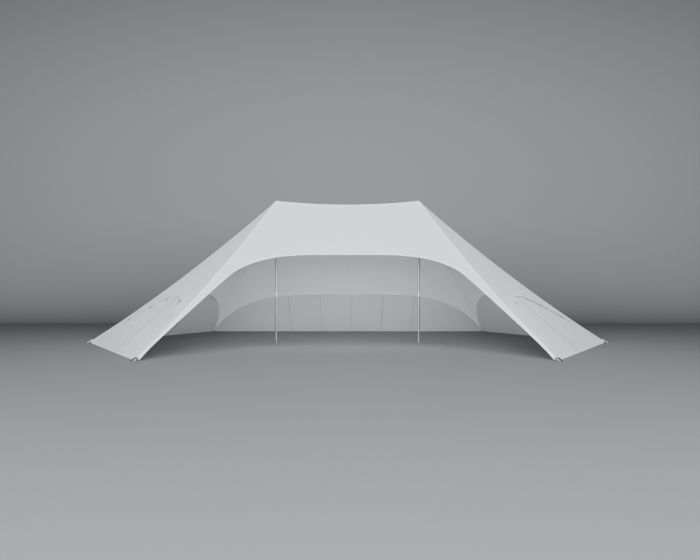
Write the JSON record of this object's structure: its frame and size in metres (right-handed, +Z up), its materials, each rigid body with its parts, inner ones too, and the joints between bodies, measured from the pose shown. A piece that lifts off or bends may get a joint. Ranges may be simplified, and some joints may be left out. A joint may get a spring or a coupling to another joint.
{
  "type": "double-peak star tent",
  "caption": "Double-peak star tent: two slim masts carry a white membrane with an open front arch, zipped fabric side walls, a rear wall and ratchet tie-downs at its feet.",
  "frame": {"origin": "on the ground, midway between the two masts", "axes": "+X from the left mast to the right mast, +Y from the open front to the rear wall, +Z up"},
  "size_m": [21.014, 13.2434, 5.6989],
  "materials": {
    "canopy_fabric": "matt coated white polyester with welded seams",
    "wall_fabric": "matt coated white polyester",
    "zip": "grey moulded zip on white tape",
    "mast_aluminium": "drawn and anodised, satin",
    "steel_fitting": "zinc plated",
    "webbing": "woven white polyester webbing",
    "dark_steel": "black coated steel"
  },
  "bodies": {
    "root": {"canopy_front": "canopy_fabric", "canopy_rear": "canopy_fabric", "canopy_left_front": "canopy_fabric", "canopy_left_rear": "canopy_fabric", "canopy_right_front": "canopy_fabric", "canopy_right_rear": "canopy_fabric", "wall_left_front_1": "wall_fabric", "wall_left_front_2": "wall_fabric", "zip_left_front": "zip", "wall_left_rear_1": "wall_fabric", "wall_left_rear_2": "wall_fabric", "zip_left_rear": "zip", "wall_right_front_1": "wall_fabric", "wall_right_front_2": "wall_fabric", "zip_right_front": "zip", "wall_right_rear_1": "wall_fabric", "wall_right_rear_2": "wall_fabric", "zip_right_rear": "zip", "wall_rear": "wall_fabric", "mast_left": "mast_aluminium", "mast_base_left": "steel_fitting", "mast_head_left": "steel_fitting", "peak_cap_left": "canopy_fabric", "mast_right": "mast_aluminium", "mast_base_right": "steel_fitting", "mast_head_right": "steel_fitting", "peak_cap_right": "canopy_fabric", "strap_left": "webbing", "ratchet_left": "dark_steel", "stake_left": "dark_steel", "strap_left_front": "webbing", "ratchet_left_front": "dark_steel", "stake_left_front": "dark_steel", "strap_left_rear": "webbing", "ratchet_left_rear": "dark_steel", "stake_left_rear": "dark_steel", "strap_right": "webbing", "ratchet_right": "dark_steel", "stake_right": "dark_steel", "strap_right_front": "webbing", "ratchet_right_front": "dark_steel", "stake_right_front": "dark_steel", "strap_right_rear": "webbing", "ratchet_right_rear": "dark_steel", "stake_right_rear": "dark_steel"}
  },
  "joints": []
}
